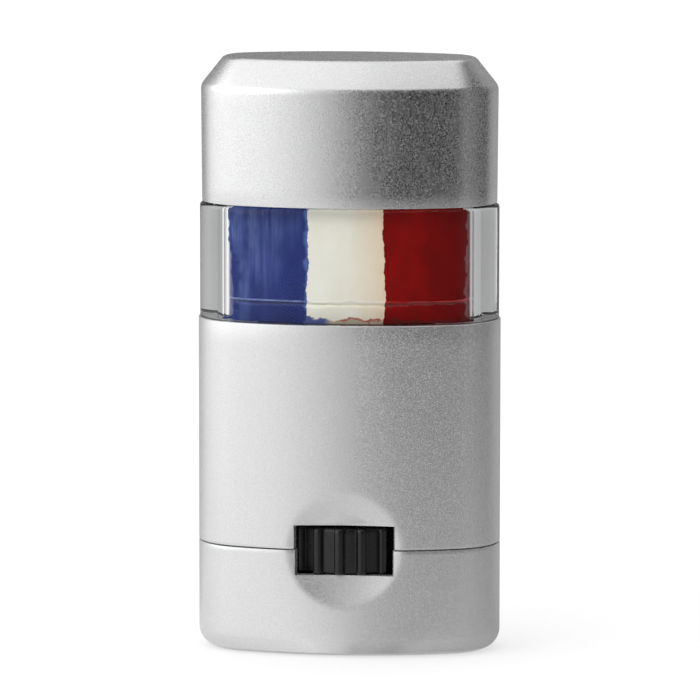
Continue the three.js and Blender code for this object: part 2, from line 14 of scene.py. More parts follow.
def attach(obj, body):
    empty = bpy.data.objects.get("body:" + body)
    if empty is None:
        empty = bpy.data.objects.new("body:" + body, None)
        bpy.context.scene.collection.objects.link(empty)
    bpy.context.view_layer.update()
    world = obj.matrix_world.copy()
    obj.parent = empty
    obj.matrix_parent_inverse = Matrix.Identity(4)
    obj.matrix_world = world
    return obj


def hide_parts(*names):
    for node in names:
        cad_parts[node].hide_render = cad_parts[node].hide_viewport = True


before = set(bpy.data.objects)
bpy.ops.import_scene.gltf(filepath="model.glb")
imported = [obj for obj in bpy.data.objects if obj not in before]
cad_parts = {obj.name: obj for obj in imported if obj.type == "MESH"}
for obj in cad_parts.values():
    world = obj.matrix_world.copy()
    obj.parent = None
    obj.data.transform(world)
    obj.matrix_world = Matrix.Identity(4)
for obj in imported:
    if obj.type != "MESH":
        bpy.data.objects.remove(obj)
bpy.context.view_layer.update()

MM = 0.001
TAU = 2 * math.pi
SHARP = 32  # degrees between two faces from which their edge is drawn sharp

# Outline of the case, and what lies inside it, in mm like all lengths and levels of the shapes
HALF_WIDTH = 16.5
HALF_DEPTH = 8.0
END_RADIUS = 6.3
WALL = 1.3
LIP_FIT = 0.12  # between the case's wall and what stands inside it
BAND_INSET = 0.17  # by which the clear band and the cap stand back from the case
CAP_WALL = 1.1
BORE = (13.4, 5.2, 3.6)  # half width, half depth, end radius
PAINT_FIT = 0.17  # by which the paint has shrunk from the two ends

# Levels
SPLIT = 11.8
SLEEVE_BOTTOM = 11.92
SHOULDER = 36.5
BAND_TOP = 49.0
CAP_RIM = 49.15
NECK_TOP = 55.5
TOP = 65.0
FLOOR_TOP = 32.4
CUP_BOTTOM = 32.7
NUT_BOTTOM = 33.2
PLATE_BOTTOM = 36.2
PLATE_TOP = 37.0
CUP_RIM = 38.2
FIN_FOOT = 36.8
PAINT_FOOT = 36.35
PAINT_TOP = 54.3
RIM_MARK = 38.72  # the line that the cup's rim left in the paint
SCREW_TOP = 51.0

# Thumb recess, window and wheel
DISH_RADIUS = 6.25
DISH_DEPTH = 1.1
DISH_RIM = 0.1  # softness of its rim
DISH_WALL = 1.1  # least wall behind it
WINDOW = (9.05, 14.55)
WINDOW_HALF = (5.38, 5.5)  # half widths below and above the split
WHEEL = (9.4, 14.2)  # the hub's bottom, and the top of hub and rim
RIM_BOTTOM = 9.16
RIM_INSIDE = 5.85
RIBS = 19
RIB_REACH = 7.9
RIB_DEPTH = 0.46
RIB_CROWN = 0.58  # radius of a rib's rounded crown
RIB_PITCH_RADIUS = 7.5
RIB_ANGLE = -0.075  # radians by which the front rib stands aside
WEB = (11.0, 12.6)  # levels of the web between rim and hub
PIVOT_HOLE = 1.55
HUB_RADIUS = 3.383
DRIVE_HOLE = 1.65  # half width of the wheel's square hole
DRIVE_HALF = 1.55  # half width of the screw's square end

# Screw and cup
SCREW_RADIUS = 2.5
SCREW_HOLE = 2.65
THREAD_LEAD = 3.0
THREAD_WAVE = 0.35  # half of the thread's depth
THREAD_FIT = 0.2
THREAD_START = 32.0
NUT_RADIUS = 3.7
CUP = (13.0, 4.8, 3.2)
CUP_WALL = 0.6
FINS = ((20.8, 0.6, 0), (0.6, 5.2, -7.3), (0.6, 5.2, 7.3))  # width, depth and x
STRIPE = 4.1  # x of the two lines between the colours


# Outlines: arrays of points round an oval, and their outward normals

def face_arc(a, b, end):
    """The x of the end arcs' centres, and the wide arcs' radius, y of the centre and half angle."""
    cx = a - end
    r = (cx * cx + b * b - end * end) / (2 * (b - end))
    return cx, r, b - r, math.atan2(cx, r - b)


def oval(outline, face_x=None, face_steps=48, end_steps=14):
    """Anticlockwise from the start of the +X end. face_x gives the x of the columns on both wide faces."""
    a, b, end = outline
    cx, r, cy, meet = face_arc(a, b, end)
    x_meet = r * math.sin(meet)
    if face_x is None:
        xs = np.linspace(-x_meet, x_meet, face_steps + 1)
    else:
        xs = np.array([-x_meet, *[x for x in face_x if abs(x) < x_meet - 0.1], x_meet])
    turn = math.pi / 2 - meet
    ends = np.linspace(-turn, turn, 2 * end_steps + 1)[1:-1]
    faces = np.arccos(xs / r)  # angles about the wide arc's centre, from +X
    points, normals = [], []

    def put(x0, y0, radius, angle):
        n = (math.cos(angle), math.sin(angle))
        points.append((x0 + radius * n[0], y0 + radius * n[1]))
        normals.append(n)

    for t in ends:
        put(cx, 0, end, t)
    for t in faces[::-1]:
        put(0, cy, r, t)
    for t in ends:
        put(-cx, 0, end, t + math.pi)
    for t in faces:
        put(0, -cy, r, -t)
    return np.array(points), np.array(normals)


def ring(outline, inset, z):
    """The points of an outline at height z, moved inwards by inset."""
    points, normals = outline
    return np.column_stack([points - inset * normals, np.full(len(points), z)])


def around(angle, radius, z):
    """A ring about the Z axis with points at the given angles. Each may have a radius of its own."""
    radius = np.broadcast_to(radius, len(angle))
    return np.column_stack([radius * np.cos(angle), radius * np.sin(angle), np.full(len(angle), z)])


def directions(outline):
    """The angle of each point of an oval after it is squeezed to a circle."""
    x, y = outline[0].T
    return np.arctan2(y / np.abs(y).max(), x / np.abs(x).max())


def circle_like(outline, radius, z):
    """A circle whose points match an oval's one by one, by direction."""
    return around(directions(outline), radius, z)


def square(angle, half):
    """The radius of a square at each angle."""
    return half / np.maximum(np.abs(np.cos(angle)), np.abs(np.sin(angle)))


def round_edge(inset, z, radius, start, stop, steps=5):
    """(inset, z) steps round an edge whose centre is given. 0 degrees points outwards and 90 up."""
    angles = np.radians(np.linspace(start, stop, steps + 1))
    return [(inset - radius * math.cos(t), z + radius * math.sin(t)) for t in angles]


def hump(distance, width):
    """1 where distance is 0, and down to nothing within a few widths."""
    return np.exp(-((distance / width) ** 2))


def ease(t):
    """From 0 to 1 without a corner at either end, as t goes from 0 to 1."""
    t = np.clip(t, 0, 1)
    return t * t * (3 - 2 * t)


# Meshes

def mesh_object(name, verts, faces, sharp=SHARP):
    mesh = bpy.data.meshes.new(name)
    mesh.from_pydata((np.asarray(verts, float) * MM).tolist(), [], [list(map(int, f)) for f in faces])
    mesh.validate()
    obj = bpy.data.objects.new(name, mesh)
    bpy.context.scene.collection.objects.link(obj)
    smooth(obj, sharp)
    return obj


def smooth(obj, sharp):
    obj.data.shade_smooth()
    obj.data.set_sharp_from_angle(angle=math.radians(sharp))


def loft(name, rings, closed=False, sharp=SHARP):
    """One body through rings of matching points.

    It closes on itself, or its first and last ring are filled in.
    """
    n = len(rings[0])
    verts = [tuple(p) for r in rings for p in r]
    faces = []
    for i in range(len(rings) if closed else len(rings) - 1):
        low, high = i * n, (i + 1) % len(rings) * n
        for j in range(n):
            k = (j + 1) % n
            faces.append((low + j, low + k, high + k, high + j))
    if not closed:
        first, last = len(verts), len(verts) + 1
        verts += [tuple(np.mean(rings[0], 0)), tuple(np.mean(rings[-1], 0))]
        top = (len(rings) - 1) * n
        for j in range(n):
            k = (j + 1) % n
            faces += [(first, k, j), (last, top + j, top + k)]
    return mesh_object(name, verts, faces, sharp)


def shell(name, outer, inner, keep, bottom=False):
    """A wall between two grids of points (rows, columns round), closed all round.

    keep says which cells have material, and each hole that it leaves gets side walls. With bottom, the first
    rows are filled in as the underside and the floor.
    """
    rows, n = outer.shape[:2]
    verts = [*outer.reshape(-1, 3), *inner.reshape(-1, 3)]
    half = rows * n
    faces = []
    for i in range(rows - 1):
        for j in range(n):
            if not keep[i, j]:
                continue
            a, b = i * n + j, i * n + (j + 1) % n
            c, d = b + n, a + n
            faces += [(a, b, c, d), (half + d, half + c, half + b, half + a)]
            if (i > 0 and not keep[i - 1, j]) or (i == 0 and not bottom):
                faces.append((b, a, half + a, half + b))
            if i == rows - 2 or not keep[i + 1, j]:
                faces.append((d, c, half + c, half + d))
            if not keep[i, j - 1]:
                faces.append((a, d, half + d, half + a))
            if not keep[i, (j + 1) % n]:
                faces.append((c, b, half + b, half + c))
    if bottom:
        foot, floor = len(verts), len(verts) + 1
        verts += [outer[0].mean(0), inner[0].mean(0)]
        for j in range(n):
            k = (j + 1) % n
            faces += [(foot, k, j), (floor, half + j, half + k)]
    used = sorted({v for f in faces for v in f})
    index = {v: i for i, v in enumerate(used)}
    return mesh_object(name, [verts[v] for v in used], [[index[v] for v in f] for f in faces])


def block(name, width, depth, height, x, y, z):
    """A box on its foot at z, for cuts and joints."""
    xs, ys, zs = (x - width / 2, x + width / 2), (y - depth / 2, y + depth / 2), (z, z + height)
    verts = [(a, b, c) for a in xs for b in ys for c in zs]
    faces = [(0, 1, 3, 2), (4, 6, 7, 5), (0, 4, 5, 1), (2, 3, 7, 6), (0, 2, 6, 4), (1, 5, 7, 3)]
    return mesh_object(name, verts, faces)


def turned(name, profile, steps=96):
    """A round body about the Z axis from (radius, z) points, with its two ends filled in."""
    angles = np.arange(steps) * TAU / steps
    return loft(name, [around(angles, r, z) for r, z in profile])


def combine(obj, others, operation, sharp=SHARP):
    """Joins the other bodies to obj or cuts them from it, and removes them."""
    for other in others:
        step = obj.modifiers.new("combine", "BOOLEAN")
        step.operation = operation
        step.solver = "MANIFOLD"
        step.object = other
    bpy.context.view_layer.update()
    made = bpy.data.meshes.new_from_object(obj.evaluated_get(bpy.context.evaluated_depsgraph_get()))
    obj.modifiers.clear()
    obj.data = made
    for other in others:
        bpy.data.objects.remove(other)
    smooth(obj, sharp)
    return obj


# Materials

class Nodes:
    """A short way to write the nodes of a material or of the world."""

    def __init__(self, owner):
        owner.use_nodes = True
        self.owner = owner
        self.tree = owner.node_tree
        self.tree.nodes.clear()
        self.coords = None

    def add(self, kind, inputs=None, **settings):
        """A new node. Each input is a value or another node's output."""
        node = self.tree.nodes.new(kind)
        for key, value in settings.items():
            setattr(node, key, value)
        for key, value in (inputs or {}).items():
            if isinstance(value, bpy.types.NodeSocket):
                self.tree.links.new(value, node.inputs[key])
            else:
                node.inputs[key].default_value = value
        return node

    def place(self, scale=(1, 1, 1)):
        """Object coordinates, stretched."""
        self.coords = self.coords or self.add("ShaderNodeTexCoord")
        if scale == (1, 1, 1):
            return self.coords.outputs["Object"]
        node = self.add("ShaderNodeMapping", {"Vector": self.coords.outputs["Object"], "Scale": scale})
        return node.outputs[0]

    def noise(self, per_mm, detail=2.0, roughness=0.5, stretch=(1, 1, 1)):
        """Noise with about per_mm cells to the millimetre."""
        node = self.add("ShaderNodeTexNoise", {
            "Vector": self.place(stretch), "Scale": per_mm / MM, "Detail": detail, "Roughness": roughness})
        return node.outputs["Fac"]

    def math(self, operation, a, b):
        """Two values in one operation."""
        return self.add("ShaderNodeMath", {0: a, 1: b}, operation=operation).outputs[0]

    def span(self, value, low, high, to_low, to_high):
        """The value moved from the span low to high to the span to_low to to_high, and kept inside it."""
        node = self.add("ShaderNodeMapRange", {
            "Value": value, "From Min": low, "From Max": high, "To Min": to_low, "To Max": to_high})
        return node.outputs["Result"]

    def mix(self, factor, a, b):
        """The colour a, and at a factor of 1 the colour b."""
        node = self.add("ShaderNodeMix", data_type="RGBA")
        for socket, value in ((node.inputs[0], factor), (node.inputs[6], a), (node.inputs[7], b)):
            if isinstance(value, bpy.types.NodeSocket):
                self.tree.links.new(value, socket)
            else:
                socket.default_value = value
        return node.outputs[2]

    def bump(self, height, distance, strength):
        """A surface that rises by distance, in mm, where the height is 1."""
        node = self.add("ShaderNodeBump", {"Height": height, "Distance": distance * MM, "Strength": strength})
        return node.outputs["Normal"]

    def finish(self, shader):
        self.add("ShaderNodeOutputMaterial", {"Surface": shader})
        return self.owner


def new_material(name):
    return Nodes(bpy.data.materials.new(name))


def rgb(r, g, b):
    return (r, g, b, 1.0)


def silver(name, light, dark, metallic, roughness, grain, sparkle):
    """Satin silver coating: fine flakes, a faint cloud over them, and rubbed patches that shine more.

    sparkle is how much of the metal is missing where flakes stand on edge. Those specks are paler in dark
    reflections.
    """
    m = new_material(name)
    flakes = m.span(m.noise(8.5, 1.0, 0.6), 0.3, 0.7, 0.0, 1.0)
    cloud = m.noise(0.12, 3.0, 0.55)
    color = m.mix(flakes, dark, light)
    color = m.mix(m.span(cloud, 0.35, 0.7, 0.0, 0.06), color, light)
    patches = m.noise(0.35, 4.0, 0.6, (1, 1, 0.45))
    rubbed = m.span(patches, 0.38, 0.68, roughness + 0.015, roughness - 0.015)
    specks = m.noise(6.5, 1.0, 0.6)
    metal = m.span(specks, 0.44, 0.68, metallic, metallic - sparkle)
    rough = m.math("ADD", rubbed, m.span(specks, 0.44, 0.68, 0.0, sparkle * 0.4))
    normal = m.bump(m.noise(4.8, 2.0, 0.6), grain, 0.6)
    shader = m.add("ShaderNodeBsdfPrincipled", {
        "Base Color": color, "Metallic": metal, "Roughness": rough, "Normal": normal, "IOR": 1.5})
    return m.finish(shader.outputs[0])


def see_through(m, color, rough, ripple, ior, lamp_color):
    """A clear shader that lamp rays pass straight through."""
    glass = m.add("ShaderNodeBsdfPrincipled", {
        "Base Color": color, "Roughness": rough, "Normal": ripple, "IOR": ior, "Transmission Weight": 1.0})
    passing = m.add("ShaderNodeBsdfTransparent", {"Color": lamp_color})
    rays = m.add("ShaderNodeLightPath")
    mixed = m.add("ShaderNodeMixShader", {
        0: rays.outputs["Is Shadow Ray"], 1: glass.outputs[0], 2: passing.outputs[0]})
    return m.finish(mixed.outputs[0])


def clear_plastic():
    """Polished clear plastic, very faintly green, with moulding ripples.

    Its refractive index is lower than the real one, which would make the ends of the barrel too dark.
    """
    m = new_material("clear_plastic")
    ripple = m.bump(m.noise(0.25, 2.0, 0.5, (1, 1, 0.25)), 0.02, 0.35)
    rough = m.span(m.noise(0.6, 3.0), 0.35, 0.75, 0.015, 0.05)
    tint = m.mix(m.noise(0.2, 2.0), rgb(0.965, 0.985, 0.98), rgb(0.975, 0.99, 0.985))
    return see_through(m, tint, rough, ripple, 1.32, rgb(0.98, 0.99, 0.985))


def clear_cup():
    """Clear plastic, a little cloudy from the paint that it holds."""
    m = new_material("clear_cup")
    ripple = m.bump(m.noise(0.5, 2.0), 0.02, 0.3)
    rough = m.span(m.noise(1.2, 3.0), 0.35, 0.75, 0.05, 0.14)
    return see_through(m, rgb(0.96, 0.97, 0.95), rough, ripple, 1.5, rgb(0.98, 0.985, 0.98))


def milky_plastic():
    """Uncoloured moulded plastic, a little cloudy."""
    m = new_material("milky_plastic")
    color = m.mix(m.span(m.noise(0.5, 3.0), 0.3, 0.7, 0, 1), rgb(0.72, 0.72, 0.68), rgb(0.8, 0.8, 0.77))
    rough = m.span(m.noise(1.2, 3.0), 0.3, 0.7, 0.28, 0.42)
    normal = m.bump(m.noise(2.5, 3.0), 0.008, 0.5)
    shader = m.add("ShaderNodeBsdfPrincipled", {
        "Base Color": color, "Roughness": rough, "Normal": normal, "IOR": 1.5,
        "Subsurface Weight": 0.3, "Subsurface Radius": (1.0, 1.0, 0.9), "Subsurface Scale": 1.0 * MM})
    return m.finish(shader.outputs[0])


def black_plastic():
    """Satin black moulding with a fine spark-eroded grain, a little dusty."""
    m = new_material("black_plastic")
    grain = m.noise(9.0, 2.0, 0.6)
    dust = m.span(m.noise(1.1, 5.0, 0.65), 0.55, 0.8, 0.0, 0.5)
    color = m.mix(dust, rgb(0.007, 0.007, 0.0075), rgb(0.02, 0.02, 0.021))
    rough = m.span(m.noise(0.8, 4.0), 0.3, 0.7, 0.22, 0.36)
    normal = m.bump(grain, 0.01, 0.6)
    shader = m.add("ShaderNodeBsdfPrincipled", {
        "Base Color": color, "Roughness": rough, "Normal": normal, "IOR": 1.5, "Specular IOR Level": 0.38})
    return m.finish(shader.outputs[0])


# The crest lines are painted light: a painted highlight along the crest of the rim's mark and a painted
# shadow line below it.
CREST_HIGHLIGHT_SHADOW_LINES = (RIM_MARK + 0.1, RIM_MARK - 0.17)  # middles of the pale line and of the dark one
DRY_LEAN = 2.5
DRY_LEAST = 0.04  # share of the bloom that is left beyond its end


def paint(name, deep, body, hazy, haze, crest, dry=None, stains_and_shade=()):
    """Waxy cast paint seen against the barrel: streaks up the wall where it clings, and a dry bloom.

    crest is the colours of the painted highlight along the crest and of the painted shadow line below it,
    along the mark that the cup's rim left. dry is the x in mm where the bloom is strongest and where it ends.
    The last argument gives (low corner, high corner, colour, strength, softness) of places, in x and z in
    mm, where another colour has got in, and of painted shade.
    """
    m = new_material(name)
    at = m.add("ShaderNodeSeparateXYZ", {0: m.place()})
    x, z = at.outputs["X"], at.outputs["Z"]

    def shift(value, amount):
        return m.math("ADD", value, amount)

    def times(a, b):
        return m.math("MULTIPLY", a, b)

    streaks = m.span(m.noise(0.9, 5.0, 0.65, (1, 1, 0.07)), 0.35, 0.68, 0.0, 1.0)
    patches = m.span(m.noise(0.22, 4.0, 0.6, (1, 1, 0.6)), 0.35, 0.66, 0.0, 1.0)
    scratches = m.span(m.noise(1.6, 3.0, 0.6, (0.12, 0.12, 3.0)), 0.52, 0.7, 0.0, 0.4)
    color = m.mix(patches, deep, body)
    bloom = times(streaks, patches)
    bloom = m.math("MAXIMUM", bloom, scratches)
    bloom = m.span(bloom, 0.1, 0.9, 0.0, haze)
    if dry:
        strongest, end = dry
        lean = DRY_LEAN * MM * np.sign(end - strongest)  # the bloom reaches further in higher up
        leaning = shift(x, m.span(z, 38 * MM, 50 * MM, lean, -lean))
        near = m.span(leaning, strongest * MM, end * MM, 1.0, DRY_LEAST)
        bloom = times(bloom, near)
    color = m.mix(bloom, color, hazy)
    ragged = m.span(m.noise(0.7, 4.0, 0.6), 0.3, 0.7, -0.35 * MM, 0.35 * MM)
    # Mixes in the stains where another colour has got in, and the painted shade given with them.
    for (x0, z0), (x1, z1), colour, strength, soft in stains_and_shade:
        inside = m.span(shift(x, ragged), (x0 - soft) * MM, x0 * MM, 0.0, strength)
        inside = times(inside, m.span(shift(x, ragged), x1 * MM, (x1 + soft) * MM, 1.0, 0.0))
        inside = times(inside, m.span(shift(z, ragged), (z0 - 0.1) * MM, z0 * MM, 0.0, 1.0))
        inside = times(inside, m.span(shift(z, ragged), z1 * MM, (z1 + 0.1) * MM, 1.0, 0.0))
        color = m.mix(inside, color, colour)
    # The crest lines below are painted light: a highlight along the crest of the rim's mark and a shadow line
    # under it.
    broken = m.span(m.noise(0.45, 4.0, 0.7), 0.35, 0.6, 0.3, 1.0)
    for middle, colour in zip(CREST_HIGHLIGHT_SHADOW_LINES, crest):
        inside = times(m.span(z, (middle - 0.13) * MM, (middle - 0.03) * MM, 0.0, 1.0),
                       m.span(z, (middle + 0.03) * MM, (middle + 0.13) * MM, 1.0, 0.0))
        color = m.mix(times(inside, broken), color, colour)
    rough = m.span(m.noise(0.5, 4.0), 0.3, 0.7, 0.38, 0.6)
    normal = m.bump(m.noise(1.6, 4.0, 0.6, (1, 1, 0.3)), 0.03, 0.5)
    shader = m.add("ShaderNodeBsdfPrincipled", {
        "Base Color": color, "Roughness": rough, "Normal": normal, "IOR": 1.45, "Specular IOR Level": 0.08,
        "Subsurface Weight": 0.12, "Subsurface Radius": (1.0, 0.9, 0.8), "Subsurface Scale": 0.4 * MM})
    return m.finish(shader.outputs[0])


CASE = silver("silver_case", rgb(0.71, 0.71, 0.715), rgb(0.605, 0.605, 0.61), metallic=0.87, roughness=0.38,
              grain=0.012, sparkle=0.24)
CAP = silver("silver_cap", rgb(0.76, 0.76, 0.765), rgb(0.63, 0.63, 0.635), metallic=1.0, roughness=0.27,
             grain=0.022, sparkle=0.2)
CLEAR = clear_plastic()
MILKY = milky_plastic()
CLEAR_CUP = clear_cup()
BLACK = black_plastic()
# Each paint's crest colours are a painted highlight along the rim's mark and a painted shadow below it.
BLUE = paint(
    "blue_paint", rgb(0.003, 0.014, 0.13), rgb(0.006, 0.022, 0.19), rgb(0.19, 0.27, 0.54), haze=0.8,
    crest=(rgb(0.24, 0.32, 0.6), rgb(0.001, 0.005, 0.05)), dry=(-12.5, -5.5), stains_and_shade=(
        ((-4.25, 36), (0, 60), rgb(0.1, 0.2, 0.55), 0.6, 0.3),
    ))
WHITE = paint(
    "white_paint", rgb(0.88, 0.85, 0.73), rgb(0.93, 0.905, 0.81), rgb(0.95, 0.94, 0.88), haze=0.5,
    crest=(rgb(0.97, 0.96, 0.92), rgb(0.66, 0.61, 0.47)), stains_and_shade=(
        ((4.0, 30), (9, 60), rgb(0.86, 0.66, 0.45), 0.75, 3.8),
        # the bare cup wall's colour darkened with painted shade: a dark beige strip at the foot of the white
        ((-6, 30), (6, 36.78), rgb(0.42, 0.36, 0.27), 0.85, 0.5),
        ((-6, 36.3), (-2.4, 36.95), rgb(0.03, 0.06, 0.3), 0.9, 0.9),
        ((-0.6, 36.74), (3.4, 36.86), rgb(0.45, 0.03, 0.03), 0.75, 0.5),
    ))
RED = paint(
    "red_paint", rgb(0.17, 0.0015, 0.0015), rgb(0.27, 0.002, 0.002), rgb(0.42, 0.03, 0.025), haze=0.45,
    crest=(rgb(0.62, 0.035, 0.03), rgb(0.08, 0.0008, 0.0008)), dry=(13.5, 10.0), stains_and_shade=(
        # painted shade: the red darkens towards its right end, away from the light
        ((12, 30), (16, 60), rgb(0.13, 0.001, 0.001), 0.8, 4.0),
        ((5.5, 30), (14, 36.75), rgb(0.1, 0.015, 0.012), 0.8, 1.5),
    ))


def dress(obj, material, body, node):
    """Gives a finished piece its material and its body, and hides the node that it replaces."""
    obj.data.materials.clear()
    obj.data.materials.append(material)
    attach(obj, body)
    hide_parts(node)


# Case: base and sleeve

def dish_depth(points):
    """How deep the thumb recess is at each point of a face, with a soft rim."""
    r2 = points[..., 0] ** 2 + (points[..., 2] - SPLIT) ** 2
    level = DISH_DEPTH * (1 - r2 / DISH_RADIUS**2)
    depth = 0.5 * (level + np.sqrt(level**2 + DISH_RIM**2))
    return np.where(depth > 0.004, depth, 0) * (np.abs(points[..., 1]) > HALF_DEPTH / 2)


def case_grids(outline, outer_steps, inner_steps):
    """The outer and inner surface of the case, with the thumb recess pressed in at the front and the back."""
    outer = np.array([ring(outline, t, z) for t, z in outer_steps])
    inner = np.array([ring(outline, t, z) for t, z in inner_steps])
    depth = dish_depth(outer)
    toward = -np.sign(outer[..., 1])
    wall = np.abs(outer[..., 1]) - np.abs(inner[..., 1])
    backed = np.where(depth > 0, np.maximum(0, depth + DISH_WALL - wall), 0)
    outer[..., 1] += toward * depth
    inner[..., 1] += toward * backed
    return outer, inner


def cell_x(grid):
    """The x of the middle of each cell of a grid."""
    x = grid[:-1, :, 0]
    return (x + np.roll(x, -1, 1)) / 2


def window_cells(outer, half):
    """The cells that have material: all but the two wheel windows."""
    z = (outer[:-1, :, 2] + outer[1:, :, 2]) / 2
    x = cell_x(outer)
    y = outer[:-1, :, 1]
    return ~((z > WINDOW[0]) & (z < WINDOW[1]) & (np.abs(x) < half) & (np.abs(y) > HALF_DEPTH / 2))


# Columns of points on the wide faces: close together over the recess, and one at each side of a window
COLUMNS = sorted({
    *np.round(np.arange(-7.5, 7.51, 0.25), 3), *WINDOW_HALF, *(-x for x in WINDOW_HALF),
    *np.round(np.arange(-12, -7.6, 0.6), 3), *np.round(np.arange(8, 12.1, 0.6), 3)})
CASE_LINE = oval((HALF_WIDTH, HALF_DEPTH, END_RADIUS), COLUMNS, end_steps=18)


FOOT_RADIUS = 2.2
FLOOR_RADIUS = 1.1  # of the rounding between the base's wall and its floor
ROW = 0.25  # height of the rows of points over the recess
POST_FOOT = 0.7  # the post and the ribs start here, inside the base's floor


def base():
    """The base cup, with its snap lips, the wheel's pivot post and the ribs on its floor."""
    foot = round_edge(FOOT_RADIUS, FOOT_RADIUS, FOOT_RADIUS, -90, 0, 10)
    floor = round_edge(WALL + FLOOR_RADIUS, 2.5, FLOOR_RADIUS, -90, 0, 10)
    levels = [
        *np.arange(3.0, 5.3, 0.5), *np.arange(5.3, WINDOW[0] - 0.05, ROW), WINDOW[0],
        *np.arange(WINDOW[0] + ROW, SPLIT - 0.3, ROW)]
    lip = [(0.0, SPLIT - 0.1), (0.03, SPLIT - 0.03), (0.1, SPLIT)]
    outer_steps = foot + [(0, z) for z in levels] + lip
    inner_steps = floor + [(WALL, z) for z in levels] + [(WALL, z) for _, z in lip]
    outer, inner = case_grids(CASE_LINE, outer_steps, inner_steps)
    made = shell("base_shell", outer, inner, window_cells(outer, WINDOW_HALF[0]), bottom=True)

    lip_in = WALL + LIP_FIT
    profile = [
        (lip_in - 0.4, 10.2), (lip_in - 0.4, 11.7), (lip_in, 11.82), (lip_in, 12.6), (lip_in - 0.14, 12.75),
        (lip_in - 0.2, 12.9), (lip_in - 0.14, 13.05), (lip_in, 13.2), (lip_in, 13.6), (lip_in + 0.1, 13.7)]
    outer = np.array([ring(CASE_LINE, t, z) for t, z in profile])
    inner = np.array([ring(CASE_LINE, lip_in + 0.8, z) for _, z in profile])
    lips = shell("lips", outer, inner, np.abs(cell_x(outer)) > 7.4)
    post = turned("post", [(3, POST_FOOT), (3, 9.15), (2.9, 9.25), (1.4, 9.25), (1.4, 10.5), (1.25, 10.65)])
    ribs = [block("rib", width, depth, 4, 0, 0, POST_FOOT) for width, depth in ((11.2, 0.8), (0.8, 11.2))]
    return combine(made, [lips, post, *ribs], "UNION")


def sleeve():
    """The sleeve, with its bulkhead, the room for the wheel and the groove for the barrel's bead."""
    lip = [(0.1, SLEEVE_BOTTOM), (0.03, SLEEVE_BOTTOM + 0.03), (0.0, SLEEVE_BOTTOM + 0.1)]
    levels = [
        *np.arange(12.25, WINDOW[1] - 0.05, ROW), WINDOW[1], *np.arange(WINDOW[1] + ROW, 18.6, ROW),
        *np.arange(19.5, 29, 1.5)]
    groove = [(WALL, 32.95), (WALL - 0.2, 33.2), (WALL - 0.3, 33.5), (WALL - 0.2, 33.8), (WALL, 34.05)]
    high = [(0.0, z) for _, z in groove]
    edge = [(0.0, SHOULDER - 0.14), (0.02, SHOULDER - 0.07), (0.07, SHOULDER - 0.02), (0.14, SHOULDER)]
    outer_steps = lip + [(0, z) for z in levels] + high + edge
    inner_steps = [(WALL, z) for _, z in lip] + [(WALL, z) for z in levels] + groove
    inner_steps += [(WALL, z) for _, z in edge]
    outer, inner = case_grids(CASE_LINE, outer_steps, inner_steps)
    made = shell("sleeve_shell", outer, inner, window_cells(outer, WINDOW_HALF[1]))
    bulkhead = loft("bulkhead", [ring(CASE_LINE, WALL / 2, z) for z in (14.85, 16.05)])
    room = turned("room", [(8.25, 11), (8.25, WINDOW[1])])
    hole = turned("hole", [(SCREW_HOLE, 14), (SCREW_HOLE, 17)])
    # A ledge under the two clear ends: a plug, less the bore and the middle
    ledge = loft("ledge", [ring(CASE_LINE, WALL - 0.1, z) for z in (36.1, SHOULDER - 0.08)])
    well = loft("well", [ring(oval(BORE), -0.05, z) for z in (36, 37)])
    combine(ledge, [well, block("middle", 19, 20, 2, 0, 0, 35.5)], "DIFFERENCE")
    combine(made, [bulkhead, ledge], "UNION")
    return combine(made, [room, hole], "DIFFERENCE")


# Clear barrel

BAND = (HALF_WIDTH - BAND_INSET, HALF_DEPTH - BAND_INSET, END_RADIUS - BAND_INSET)
NECK_FIT = 0.14  # between the neck and the cap's wall
DRAW_LINES = (-0.82, -0.45, -0.1, 0.3, 0.66)  # places round the end walls of the bore, by the y of the normal


def barrel():
    """One clear body: skirt, band and neck on the outside, and the bore and the floor inside."""
    outline = oval(BAND, end_steps=48)
    points, normals = oval(BORE, end_steps=48)
    draw_lines = sum(0.05 * hump(normals[:, 1:] - place, 0.035) for place in DRAW_LINES)
    bore = (points - draw_lines * normals, normals)
    skirt = WALL + LIP_FIT - BAND_INSET
    neck = CAP_WALL + NECK_FIT
    outside = [
        *round_edge(skirt + 0.15, 29.65, 0.15, -90, 0, 3),
        (skirt, 33.2), (skirt - 0.14, 33.35), (skirt - 0.2, 33.5), (skirt - 0.14, 33.65), (skirt, 33.8),
        (skirt, SHOULDER - 0.05), (skirt - 0.05, SHOULDER), (0.05, SHOULDER), (0, SHOULDER + 0.05),
        *[(0, z) for z in np.arange(38, 48, 1.5)],
        *round_edge(0.35, BAND_TOP - 0.35, 0.35, 0, 90, 5),
        (neck + 0.1, BAND_TOP), (neck, BAND_TOP + 0.1),
        *round_edge(neck + 0.3, NECK_TOP - 0.3, 0.3, 0, 90, 5),
    ]
    rings = [ring(outline, t, z) for t, z in outside]
    rings += [ring(bore, t, z) for t, z in round_edge(-0.2, NECK_TOP - 0.2, 0.2, 90, 180, 4)[1:]]
    rings += [ring(bore, 0, z) for z in np.arange(54, FLOOR_TOP + 0.6, -1.5)]
    rings += [ring(bore, t, z) for t, z in round_edge(0.4, FLOOR_TOP + 0.4, 0.4, 180, 270, 4)]
    rings += [circle_like(bore, r, FLOOR_TOP) for r in (4.5, SCREW_HOLE)]
    rings += [circle_like(bore, r, FLOOR_TOP - 1.4) for r in (SCREW_HOLE, 4.2)]
    rings += [ring(outline, skirt + t, z) for t, z in ((1.5, 31.0), (1.2, 30.7), (1.2, 29.5))]
    return loft("clear_barrel_body", rings, closed=True)


# Cap

CAP_DRAFT = (0.24, 0.14)  # how far the outside stands back at the rim and at the shoulder
BEVEL = (2.5, 3.15)  # how far it goes in, and its height
BEVEL_EDGES = (1.4, 0.9)  # radii of its lower and upper edge
RIM_EDGE = 0.12  # radius of the rim's outer edge


